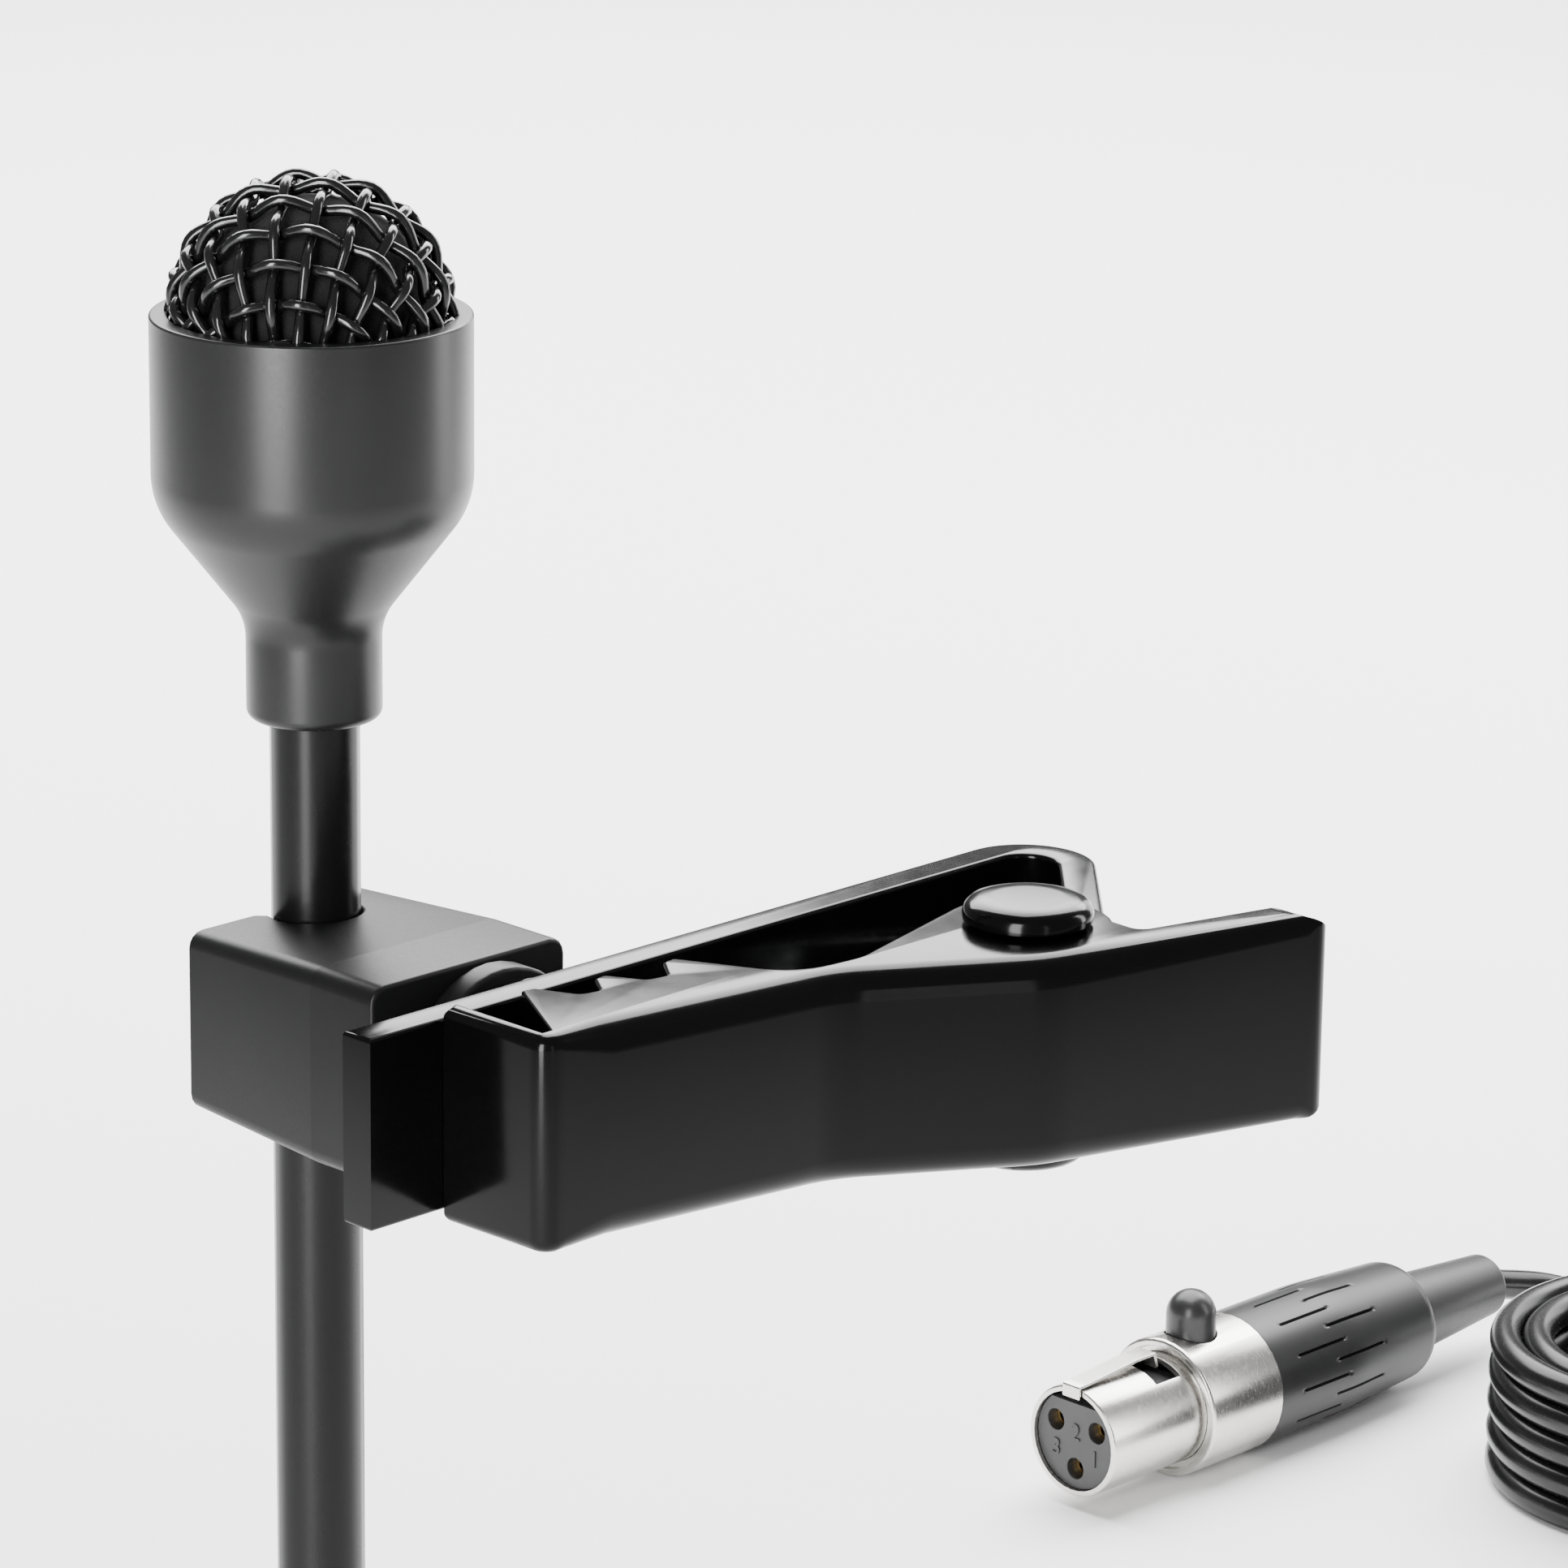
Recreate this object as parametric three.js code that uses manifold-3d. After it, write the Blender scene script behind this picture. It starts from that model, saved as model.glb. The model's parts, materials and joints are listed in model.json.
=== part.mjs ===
// A lavalier (lapel) microphone: a capsule in a turned housing with a woven dome grille, a swivelling
// crocodile clip that slides on the cable, and a cable that ends in a three-pole mini locking plug.
// Millimetres, +Z up. The origin is on the clip's back plate, in the jaws, in line with the cable's
// axis; +X runs along the clip from the jaws to the hinge, and +Y from the jaws to the cable.
import * as THREE from 'three';
import { mergeVertices } from 'three/addons/utils/BufferGeometryUtils.js';
import Module from 'manifold-3d';

const wasm = await Module();
wasm.setup();

// ---- driving dimensions ----
const CABLE_R = 1.1;
const FIT = 0.03; // running clearance, and the gap between pieces that touch
const CORD_GAP = 0.3; // between the cord's solids and what they meet
const ROUND = 36; // facets round a large turned piece
const SMALL = 20; // facets round a small turned piece

// the microphone's head, turned about the cable's axis
const HEAD_Y = 8.45;
const HEAD_R = 3.87;
const HEAD_BORE = 3.42;
const RIM_Z = 17.2;
const NECK_R = 1.65;
const NECK_Z = 7.25;
const CONE_FOOT = [NECK_R, 9.75]; // where the cone meets the neck, before rounding
const CONE_TOP = [HEAD_R, 12.61];
const SEAT_Z = 13.0; // floor of the capsule's seat
const DOME_R = 3.38;
const DOME_Z = 17.3;

// the clip
const PLATE_T = 0.95;
const PLATE_HALF = 2.35; // half the back plate's height
const PLATE_LEFT = -5.82;
const ARM_HALF = 2.65; // half the front arm's height
const ARM_WEB = 0.9; // thickness of the arm's upper and lower webs
const LOOP_R = 1.77; // outside radius of the spring loop
const LOOP_C = [15.47, PLATE_T - LOOP_R];
const PIN = [11.18, -4.84];
const PIN_R = 0.7;
const HUB_R = 2.1;
const KNUCKLE_R = 1.5;
const COIL_HALF = 0.9; // half the space for the torsion spring between the knuckles
const CAP_R = 1.6;
const CAP_T = 0.6;
const JAW_TILT = -8.5; // degrees, the front arm's jaw against the back plate
const LEVER_TILT = -14.4; // degrees, its thumb lever

// the holder that grips the cable, and the swivel between it and the clip
const BLOCK_Y = [2.45, 4.65, 9.37]; // clip side, crease, cable side
const BLOCK_X = [-3.56, 2.68];
const BLOCK_HALF = 2.48;
const BLOCK_TAPER = 0.91; // of the height at the cable side
const SWIVEL_R = 2.4;
const SWIVEL_Y = 1.68;
const RIVET_R = 0.6;

// the plug: its axis runs along +X from the centre of its front face
const PLUG = [215.4, 175.7, -119.75];
const NOSE_R = 3.95;
const NOSE_BORE = 3.55;
const NOSE_L = 9.1;
const BARREL_R = 4.95;
const BARREL_BORE = 4.3;
const BARREL_L = 7.2;
const SLEEVE_L = 18.2;
const SLEEVE_END_R = 4.25;
const BOOT_L = 10.1;
const BOOT_R = [3.05, 2.2];
const BUTTON_S = 2.9; // behind the barrel's front edge
const BUTTON_R = 1.75;
const SOCKETS = [[-1.87, 1.0], [1.87, 1.0], [0, -2.1]];
const SOCKET_R = 0.75;

// the floor that the cable and the plug lie on, and the coil
const FLOOR_Z = PLUG[2] - BARREL_R;
const LAID_Z = FLOOR_Z + CABLE_R;
const COIL_C = [250.3, 149.6];
const COIL_R = [12.97, 10.73]; // the outer and the inner ring of turns
const COIL_LAYERS = 5;

const degrees = THREE.MathUtils.degToRad;
const object = new THREE.Group();

// ---- helpers ----
function closed(geometry) {
  // merged vertices, no flat triangles, faces pointing out
  const bare = geometry.index ? geometry.toNonIndexed() : geometry.clone();
  bare.deleteAttribute('normal');
  bare.deleteAttribute('uv');
  const merged = mergeVertices(bare, 1e-4);
  const place = merged.attributes.position;
  const faces = [];
  let volume = 0;
  for (let i = 0; i < merged.index.count; i += 3) {
    const [a, b, c] = [0, 1, 2].map((k) => merged.index.getX(i + k));
    if (a === b || b === c || c === a) continue;
    const [p, q, r] = [a, b, c].map((k) => new THREE.Vector3().fromBufferAttribute(place, k));
    volume += p.dot(q.cross(r));
    faces.push(a, b, c);
  }
  if (volume < 0) faces.reverse();
  merged.setIndex(faces);
  return merged;
}

function solid(geometry) {
  const shape = closed(geometry);
  return new wasm.Manifold(new wasm.Mesh({
    numProp: 3,
    vertProperties: new Float32Array(shape.attributes.position.array),
    triVerts: new Uint32Array(shape.index.array),
  }));
}

function surface(manifold) {
  const mesh = manifold.getMesh();
  const geometry = new THREE.BufferGeometry();
  geometry.setAttribute('position', new THREE.BufferAttribute(mesh.vertProperties, 3));
  geometry.setIndex(new THREE.BufferAttribute(mesh.triVerts, 1));
  return geometry;
}

function joined(...solids) {
  return solids.reduce((whole, next) => whole.add(next));
}

function add(name, geometry, material, place = [0, 0, 0]) {
  const mesh = new THREE.Mesh(geometry, material);
  mesh.name = name;
  mesh.position.set(...place);
  object.add(mesh);
}

// rounds the corners of an outline of [x, y, radius] points; open outlines keep their ends
function rounded(points, open = false, steps = 4) {
  const out = [];
  points.forEach(([x, y, r = 0], i) => {
    const end = open && (i === 0 || i === points.length - 1);
    if (!r || end) {
      out.push(new THREE.Vector2(x, y));
      return;
    }
    const corner = new THREE.Vector2(x, y);
    const [before, after] = [points.at(i - 1), points[(i + 1) % points.length]]
      .map(([px, py]) => new THREE.Vector2(px, py).sub(corner).normalize());
    const half = before.angleTo(after) / 2;
    const reach = r / Math.tan(half);
    const middle = before.clone().add(after).normalize().multiplyScalar(r / Math.sin(half)).add(corner);
    const first = corner.clone().addScaledVector(before, reach).sub(middle);
    const turn = (Math.PI - 2 * half) * Math.sign(before.cross(after)) * -1;
    for (let k = 0; k <= steps; k += 1) {
      out.push(first.clone().rotateAround(new THREE.Vector2(), turn * k / steps).add(middle));
    }
  });
  return out;
}

// a solid of revolution about +Z from [radius, z, rounding] points, closed on itself or on the axis
function turned(points, facets = ROUND) {
  const profile = rounded(points);
  profile.push(profile[0].clone());
  return new THREE.LatheGeometry(profile, facets).rotateX(Math.PI / 2);
}

// the same about +X, from [radius, x] points
function turnedX(points, facets = ROUND) {
  return turned(points, facets).rotateY(Math.PI / 2);
}

function rod(radius, low, high, x = 0, y = 0, facets = SMALL) {
  return turned([[0, low], [radius, low], [radius, high], [0, high]], facets).translate(x, y, 0);
}

function tubeX(radius, from, to, y = 0, z = 0, facets = SMALL) {
  return turnedX([[0, from], [radius, from], [radius, to], [0, to]], facets).translate(0, y, z);
}

function box([x0, x1], [y0, y1], [z0, z1]) {
  return new THREE.BoxGeometry(x1 - x0, y1 - y0, z1 - z0)
    .translate((x0 + x1) / 2, (y0 + y1) / 2, (z0 + z1) / 2);
}

// an outline in the XY plane, raised from one height to another
function raised(points, low, high) {
  return new THREE.ExtrudeGeometry(new THREE.Shape(points), { depth: high - low, bevelEnabled: false })
    .translate(0, 0, low);
}

function along(curve, radius, steps, sides) {
  const section = new THREE.Shape();
  section.absarc(0, 0, radius, 0, 2 * Math.PI);
  const points = section.getSpacedPoints(sides).slice(0, sides);
  return new THREE.ExtrudeGeometry(new THREE.Shape(points), { extrudePath: curve, steps, bevelEnabled: false });
}

function finish(color, roughness, metalness = 0) {
  return new THREE.MeshStandardMaterial({ color, roughness, metalness });
}

const black = {
  satin: finish(0x1b1b1c, 0.42),
  gloss: finish(0x070708, 0.22),
  holder: finish(0x17181a, 0.5),
  wire: finish(0x0b0b0c, 0.3, 0.4),
  cable: finish(0x0c0c0d, 0.38),
  rubber: finish(0x161617, 0.6),
  felt: finish(0x050505, 0.95),
};
const metal = {
  nickel: finish(0xb9b7b2, 0.25, 1),
  steel: finish(0x8f9194, 0.3, 1),
  aluminium: finish(0xa7a9ab, 0.35, 1),
  gold: finish(0xc79a3c, 0.25, 1),
  copper: finish(0xa4643a, 0.4, 1),
};
const film = finish(0xb8b0a0, 0.4, 0.2);
const laminate = finish(0x245034, 0.5);
const insulation = { red: finish(0xa02020, 0.5), white: finish(0xd0d0cc, 0.5) };

// ---- the microphone's head ----
function housing() {
  const pocket = 1.36;
  const outline = [
    [CABLE_R + FIT, NECK_Z], [NECK_R, NECK_Z, 0.22], [...CONE_FOOT, 1.48], [...CONE_TOP, 2.1],
    [HEAD_R, RIM_Z, 0.06], [HEAD_BORE, RIM_Z], [HEAD_BORE, SEAT_Z], [2.5, SEAT_Z], [pocket, 10.6],
    [pocket, 8.9], [CABLE_R + FIT, 8.9],
  ];
  return turned(outline);
}

function dome() {
  const skirt = 16.2;
  const wall = 0.4;
  const arc = (r, steps) => Array.from({ length: steps + 1 }, (_, i) => {
    const a = Math.PI / 2 * i / steps;
    return [r * Math.cos(a), DOME_Z + r * Math.sin(a)];
  });
  const outer = arc(DOME_R, 8);
  const inner = arc(DOME_R - wall, 8).reverse();
  return turned([[DOME_R - wall, skirt], [DOME_R, skirt], ...outer, ...inner]);
}

function ring(outside, inside, low, high) {
  return turned([[inside, low], [outside, low], [outside, high], [inside, high]], 28);
}

function capsuleCan() {
  const [low, high, r, wall, hole] = [13.16, 15.76, 2.98, 0.18, 1.0];
  return turned([
    [r - wall, low], [r, low], [r, high], [hole, high], [hole, high - wall], [r - wall, high - wall],
  ], 28);
}

function gasket() {
  const [inner, lip] = [2.98 + FIT, 2.6];
  return turned([
    [lip, SEAT_Z + FIT], [HEAD_BORE - FIT, SEAT_Z + FIT], [HEAD_BORE - FIT, 15.4], [inner, 15.4],
    [inner, SEAT_Z + FIT + 0.1], [lip, SEAT_Z + FIT + 0.1],
  ], 28);
}

function perforatedPlate() {
  const plate = solid(rod(2.28, 14.85, 15.15, 0, 0, 28));
  const holes = Array.from({ length: 6 }, (_, i) => {
    const a = 2 * Math.PI * i / 6;
    return solid(rod(0.22, 14.7, 15.3, 1.2 * Math.cos(a), 1.2 * Math.sin(a), 8));
  });
  return surface(holes.reduce((left, hole) => left.subtract(hole), plate));
}

function core(side) {
  const path = new THREE.CatmullRomCurve3([
    new THREE.Vector3(0.35 * side, 0, 9.5), new THREE.Vector3(0.38 * side, 0, 10.6),
    new THREE.Vector3(0.9 * side, 0.1, 12.0), new THREE.Vector3(1.2 * side, 0, 13.14),
  ]);
  return along(path, 0.24, 8, 8);
}

const head = [0, HEAD_Y, 0];
add('mic_housing', housing(), black.satin, head);
add('grille_dome', dome(), black.wire, head);
add('grille_ring', ring(HEAD_BORE - FIT, 3.0, 15.75, 16.2 - FIT), black.wire, head);
add('felt_disc', rod(2.9, 15.8, 16.05, 0, 0, 28), black.felt, head);
add('capsule_gasket', gasket(), black.rubber, head);
add('capsule_can', capsuleCan(), metal.aluminium, head);
add('diaphragm_ring', ring(2.74, 2.2, 15.3, 15.54), metal.steel, head);
add('diaphragm', rod(2.74, 15.2, 15.27, 0, 0, 28), film, head);
add('backplate', perforatedPlate(), metal.copper, head);
add('backplate_holder', ring(2.74, 2.3 + FIT, 13.75, 15.16), finish(0xd8d4c8, 0.6), head);
add('capsule_board', rod(2.78, 13.2, 13.6, 0, 0, 28), laminate, head);
add('amplifier_chip', box([-0.7, 0.7], [-0.5, 0.5], [13.64, 14.2]), black.holder, head);
add('core_red', core(1), insulation.red, head);
add('core_white', core(-1), insulation.white, head);
add('cable_end', rod(CABLE_R, NECK_Z + 0.05, 9.4), black.cable, head);
add('crimp_ferrule', ring(1.33, CABLE_R + FIT, 8.95, 9.9), metal.copper, head);

// ---- the holder on the cable ----
function holderBlock() {
  const [front, crease, back] = BLOCK_Y;
  const middle = (BLOCK_X[0] + BLOCK_X[1]) / 2;
  const half = (BLOCK_X[1] - BLOCK_X[0]) / 2;
  const corners = [[-half, -BLOCK_HALF, 0.45], [half, -BLOCK_HALF, 0.45], [half, BLOCK_HALF, 0.45],
    [-half, BLOCK_HALF, 0.45]];
  const bar = new THREE.ExtrudeGeometry(new THREE.Shape(rounded(corners)), {
    depth: back - front, steps: 2, bevelEnabled: false,
  });
  const place = bar.attributes.position;
  for (let i = 0; i < place.count; i += 1) {
    const depth = place.getZ(i);
    if (depth > 0.75 * (back - front)) {
      place.setX(i, place.getX(i) * 0.93);
      place.setY(i, place.getY(i) * BLOCK_TAPER);
    } else if (depth > 0.25 * (back - front)) place.setZ(i, crease - front);
  }
  bar.rotateX(Math.PI / 2).scale(1, -1, 1).translate(middle, front, 0);
  const tall = BLOCK_HALF + 1;
  const bore = solid(rod(CABLE_R + FIT, -tall, tall, 0, HEAD_Y, 28));
  const throat = 0.95; // half the width of the slot that the cable snaps through
  const mouth = [[-throat, HEAD_Y], [throat, HEAD_Y], [throat, back - 0.35], [1.3, back + 0.1],
    [-1.3, back + 0.1], [-throat, back - 0.35]].map((p) => new THREE.Vector2(...p));
  const slot = solid(raised(mouth, -tall, tall));
  const socket = solid(turned([[0, 0], [RIVET_R + 0.01, 0], [RIVET_R + 0.01, 2.1], [0, 2.1]], SMALL)
    .rotateX(-Math.PI / 2).translate(0, front - 0.1, 0));
  return surface(solid(bar).subtract(bore).subtract(slot).subtract(socket));
}

function swivelDisc() {
  const [inside, front, back] = [RIVET_R + FIT, SWIVEL_Y, BLOCK_Y[0] - FIT];
  return turned([[inside, front], [SWIVEL_R, front, 0.12], [SWIVEL_R, back], [inside, back]])
    .rotateX(-Math.PI / 2);
}

function swivelRivet() {
  const [sunk, headR, tail] = [0.04, 1.15, 4.35];
  return turned([[0, sunk], [headR, sunk], [RIVET_R, sunk + 0.5], [RIVET_R, tail], [0, tail]], SMALL)
    .rotateX(-Math.PI / 2);
}

add('holder_block', holderBlock(), black.holder);
add('swivel_disc', swivelDisc(), black.holder);
add('swivel_rivet', swivelRivet(), metal.steel);

// ---- the clip ----
function loopOutline(radius) {
  // round the loop: from the plate's end, through 135 degrees, towards the pin
  return Array.from({ length: 10 }, (_, i) => {
    const a = degrees(90 - 135 * i / 9);
    return new THREE.Vector2(LOOP_C[0] + radius * Math.cos(a), LOOP_C[1] + radius * Math.sin(a));
  });
}

function backArm() {
  const outer = loopOutline(LOOP_R);
  const inner = loopOutline(LOOP_R - PLATE_T).reverse();
  const down = new THREE.Vector2(-1, -1).normalize();
  const long = 5.9; // the leg, from the loop to beside the pin
  const strap = [
    new THREE.Vector2(PLATE_LEFT, 0), new THREE.Vector2(PLATE_LEFT, PLATE_T), ...outer,
    outer.at(-1).clone().addScaledVector(down, long), inner[0].clone().addScaledVector(down, long),
    ...inner,
  ];
  const [x, y] = PIN;
  const knuckle = solid(rod(KNUCKLE_R, -PLATE_HALF, PLATE_HALF, x, y, 28));
  const boss = turned([
    [0, 0], [PLATE_HALF - 0.02, 0], [PLATE_HALF - 0.02, PLATE_T], [2.1, PLATE_T + 0.3],
    [2.1, SWIVEL_Y - 0.05], [0, SWIVEL_Y - 0.05],
  ]).rotateX(-Math.PI / 2);
  const rivetHole = turned([
    [0, -0.1], [1.33, -0.1], [RIVET_R + FIT + 0.02, 0.63], [RIVET_R + FIT + 0.02, 3], [0, 3],
  ], SMALL).rotateX(-Math.PI / 2);
  const web = ARM_HALF - ARM_WEB - 0.08;
  let arm = joined(solid(raised(strap, -PLATE_HALF, PLATE_HALF)), knuckle, solid(boss));
  for (const side of [-1, 1]) {
    const [low, high] = [web * side, (ARM_HALF + 1) * side].sort((a, b) => a - b);
    arm = arm.subtract(solid(rod(HUB_R + 0.12, low, high, x, y, 32)));
  }
  arm = arm.subtract(solid(rod(KNUCKLE_R + 0.12, -COIL_HALF, COIL_HALF, x, y, 32)));
  arm = arm.subtract(solid(rod(PIN_R + 0.01, -4, 4, x, y)));
  return surface(arm.subtract(solid(rivetHole)));
}

// the front arm's outline in plan, with its thumb lever and its teeth
const TIP = [-3.57, -3.4]; // the outer corner of the jaw's tip
const BEND = [4.9, TIP[1] + 8.47 * Math.tan(degrees(JAW_TILT))];
const LEVER = [9.3, -7.42]; // where the lever's outer face starts
const LEVER_END = 17.45;
const LEVER_T = 1.2;
const END_T = 0.4; // thickness of the wall across the jaw's tip
const leverY = (x) => LEVER[1] + (x - LEVER[0]) * Math.tan(degrees(LEVER_TILT));

function armOutline() {
  const [x, y] = PIN;
  const rise = LEVER_T / Math.cos(degrees(LEVER_TILT));
  const hub = Array.from({ length: 9 }, (_, i) => {
    const a = degrees(103 - (103 + 40) * i / 8);
    return [x + HUB_R * Math.cos(a), y + HUB_R * Math.sin(a)];
  });
  return rounded([
    [...TIP, 0.4], [...BEND, 3.5], [...LEVER, 4], [LEVER_END, leverY(LEVER_END), 0.35],
    [LEVER_END - 0.3, leverY(LEVER_END - 0.3) + rise, 0.3],
    [12.75, leverY(12.75) + rise, 0.35], ...hub.reverse(),
    [6.3, -3.95, 1.6], [4.3, -3.75, 1.8], [2.95, -0.98, 0.12], [2.55, -1.04, 0.15],
    [1.95, -1.82, 0.3], [1.35, -1.72, 0.2], [0.86, -0.78, 0.12], [0.5, -0.84, 0.15],
    [0, -1.56, 0.3], [-0.55, -1.44, 0.2], [-1.02, -0.36, 0.12], [-1.4, -0.36], [-2.9, -2.95],
    [TIP[0] + END_T, -2.95], [TIP[0] + END_T, -0.03], [TIP[0], -0.03],
  ]);
}

// the hollow between the arm's two webs, bounded by its outer wall
function hollowOutline() {
  const thick = 0.95;
  const side = PIN[0] + HUB_R + 0.12;
  const floor = [
    [side, leverY(side) + LEVER_T + 0.1], [LEVER[0] + 0.5, LEVER[1] + thick, 2.4],
    [BEND[0] - 0.1, BEND[1] + thick, 3.4], [TIP[0] + 0.5, TIP[1] + 0.85],
  ];
  return rounded([...floor, [TIP[0] + 0.5, 3], [side, 3]]);
}

function frontArm() {
  const [x, y] = PIN;
  const inside = ARM_HALF - ARM_WEB;
  const teeth = [[-1.35, -0.6, -3.2], [0.48, -1.05, -3.5], [2.5, -1.25, -3.8]].map(([tx, ty, foot]) => {
    const bar = [[tx, ty], [tx + 0.42, ty], [tx + 0.6, foot], [tx - 0.1, foot]];
    return solid(raised(bar.map((p) => new THREE.Vector2(...p)), -inside - 0.2, inside + 0.2));
  });
  const hollow = solid(raised(hollowOutline(), -inside, inside));
  let arm = joined(solid(raised(armOutline(), -ARM_HALF, ARM_HALF)).subtract(hollow), ...teeth);
  arm = arm.subtract(solid(rod(PIN_R + FIT, -4, 4, x, y)));
  for (const side of [-1, 1]) {
    // round the thumb lever's corners, seen from the front
    const corner = solid(box([LEVER_END - 1.2, LEVER_END + 1], [-12, -5],
      [ARM_HALF - 1.2, ARM_HALF + 1])).subtract(solid(turned([
      [0, -12], [1.2, -12], [1.2, -5], [0, -5],
    ], 24).rotateX(-Math.PI / 2).translate(LEVER_END - 1.2, 0, ARM_HALF - 1.2)));
    arm = arm.subtract(side > 0 ? corner : corner.rotate([180, 0, 0]).translate([0, -17, 0]));
  }
  return surface(arm);
}

function pinCap(side) {
  const low = ARM_HALF + FIT;
  const profile = [
    [PIN_R + 0.01, low], [CAP_R, low, 0.1], [CAP_R, low + CAP_T, 0.28], [PIN_R + 0.01, low + CAP_T],
  ];
  const cap = turned(profile, 28);
  return side > 0 ? cap : cap.rotateX(Math.PI);
}

function torsionSpring() {
  // one leg bears on the back plate and the other inside the lever; it is wound round the pin
  const [wire, radius, turns] = [0.175, 1.17, 3];
  const [first, last] = [degrees(135), degrees(245.2 + 360 * turns)];
  const high = COIL_HALF - 0.25;
  const leg = (a, z, reach) => new THREE.Vector3(
    PIN[0] + radius * Math.cos(a) + reach * Math.sin(a),
    PIN[1] + radius * Math.sin(a) - reach * Math.cos(a), z,
  );
  const steps = 14 * turns;
  const coils = Array.from({ length: steps + 1 }, (_, i) => (
    leg(first + (last - first) * i / steps, high * (1 - 2 * i / steps), 0)
  ));
  const path = new THREE.CatmullRomCurve3([
    leg(first, high, 5.3), leg(first, high, 2.6), leg(first, high, 0.6), ...coils,
    leg(last, -high, -0.6), leg(last, -high, -1.4), leg(last, -high, -2.3),
  ], false, 'centripetal');
  return along(path, wire, 110, 6);
}

add('back_arm', backArm(), black.gloss);
add('front_arm', frontArm(), black.gloss);
add('hinge_pin', rod(PIN_R, -ARM_HALF - CAP_T, ARM_HALF + CAP_T), metal.steel, [...PIN, 0]);
add('pin_cap_top', pinCap(1), black.gloss, [...PIN, 0]);
add('pin_cap_bottom', pinCap(-1), black.gloss, [...PIN, 0]);
add('torsion_spring', torsionSpring(), metal.steel);

// ---- the plug ----
const WINDOW = [5.9, 8.4]; // the opening in the nose for the latch, along the axis
const STRIP_HALF = 0.78; // half the latch spring's width

function buttonHole() {
  return solid(rod(BUTTON_R + 0.12, 0, 8, NOSE_L + BUTTON_S, 0, 24));
}

function noseShell() {
  const tube = turnedX([
    [NOSE_BORE, 0], [NOSE_R, 0, 0.15], [NOSE_R, NOSE_L + 1.9], [NOSE_BORE, NOSE_L + 1.9],
  ]);
  const opening = box(WINDOW, [-2.3, STRIP_HALF + 0.1], [2.4, 5]);
  return surface(solid(tube).subtract(solid(opening)).subtract(buttonHole()));
}

function insert() {
  const [front, back, r] = [0.35, 9.4, NOSE_BORE - FIT];
  let block = solid(tubeX(r, front, back, 0, 0, ROUND));
  block = block.subtract(solid(box([front - 1, back + 1], [-4, 4], [2.65, 5])));
  for (const [y, z] of SOCKETS) {
    block = block.subtract(solid(tubeX(SOCKET_R, front - 1, back + 1, y, z, 16)));
  }
  return surface(block);
}

function contact() {
  return turnedX([
    [0, 8.2], [SOCKET_R - FIT, 8.2], [SOCKET_R - FIT, 1.3], [0.5, 1.3], [0.48, 7.2], [0, 7.2],
  ].reverse(), 14);
}

function barrel() {
  const [from, to] = [NOSE_L, NOSE_L + BARREL_L];
  const tube = turnedX([
    [NOSE_R + FIT, from + 0.35], [4.35, from + 0.35], [4.45, from], [BARREL_R, from, 0.25],
    [BARREL_R, to], [BARREL_BORE, to], [BARREL_BORE, from + 1.0], [NOSE_R + FIT, from + 1.0],
  ]);
  return surface(solid(tube).subtract(buttonHole()));
}

function carrier() {
  // the plastic block behind the sockets: it seats the button's spring and holds the solder tags
  const [from, to] = [NOSE_L + 1.95, NOSE_L + BARREL_L - 0.6];
  const block = solid(tubeX(BARREL_BORE - 0.1, from, to, 0, 0, 28));
  return surface(block.subtract(solid(box([0, 30], [-6, 6], [1.2, 6]))));
}

function sleeve() {
  const from = NOSE_L + BARREL_L + FIT;
  const to = NOSE_L + BARREL_L + SLEEVE_L;
  const body = solid(turnedX([
    [4.1, from], [BARREL_R - 0.03, from], [BARREL_R - 0.03, from + 9, 30], [SLEEVE_END_R, to, 1],
    [BOOT_R[0] + FIT, to], [BOOT_R[0] + FIT, to - 2.1], [3.5, to - 2.1],
  ]));
  return surface(body);
}

function boot() {
  const from = NOSE_L + BARREL_L + SLEEVE_L;
  const grip = 2.3; // the flange that the sleeve's end keeps in
  return turnedX([
    [CABLE_R + FIT, from - grip - 0.8], [3.3, from - grip - 0.8], [3.3, from - grip],
    [BOOT_R[0], from - grip], [BOOT_R[0], from], [BOOT_R[1], from + BOOT_L, 0.3],
    [CABLE_R + FIT, from + BOOT_L],
  ], 28);
}

function chuck() {
  const from = NOSE_L + BARREL_L + 5;
  const body = solid(turnedX([
    [CABLE_R + FIT, from], [3.3, from], [3.3, from + 5.5], [2.6, from + 6.3], [CABLE_R + FIT, from + 6.3],
  ], 28));
  return surface(body.subtract(solid(box([from + 2, from + 8], [-0.2, 0.2], [-4, 4]))));
}

function plugCableEnd() {
  const from = NOSE_L + BARREL_L + 3.6;
  return tubeX(CABLE_R, from, NOSE_L + BARREL_L + SLEEVE_L + BOOT_L - CORD_GAP);
}

function latchSpring() {
  // seen from the side: [along, up], a strip with a tab over the rim and a tooth in the window
  const t = 0.22;
  const side = [
    [-0.3, 3.25], [-0.08, 3.25], [-0.08, 4.0], [0.6, 4.02], [5.6, 4.45], [7.3, 4.45], [7.6, 3.5], [7.85, 3.55],
    [7.55, 4.45 + t], [5.55, 4.45 + t], [0.55, 4.02 + t], [-0.3, 4.0 + t, 0.15],
  ];
  const strip = new THREE.ExtrudeGeometry(new THREE.Shape(rounded(side)), {
    depth: 2 * STRIP_HALF, bevelEnabled: false,
  });
  return strip.rotateX(Math.PI / 2).translate(0, STRIP_HALF, 0);
}

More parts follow.
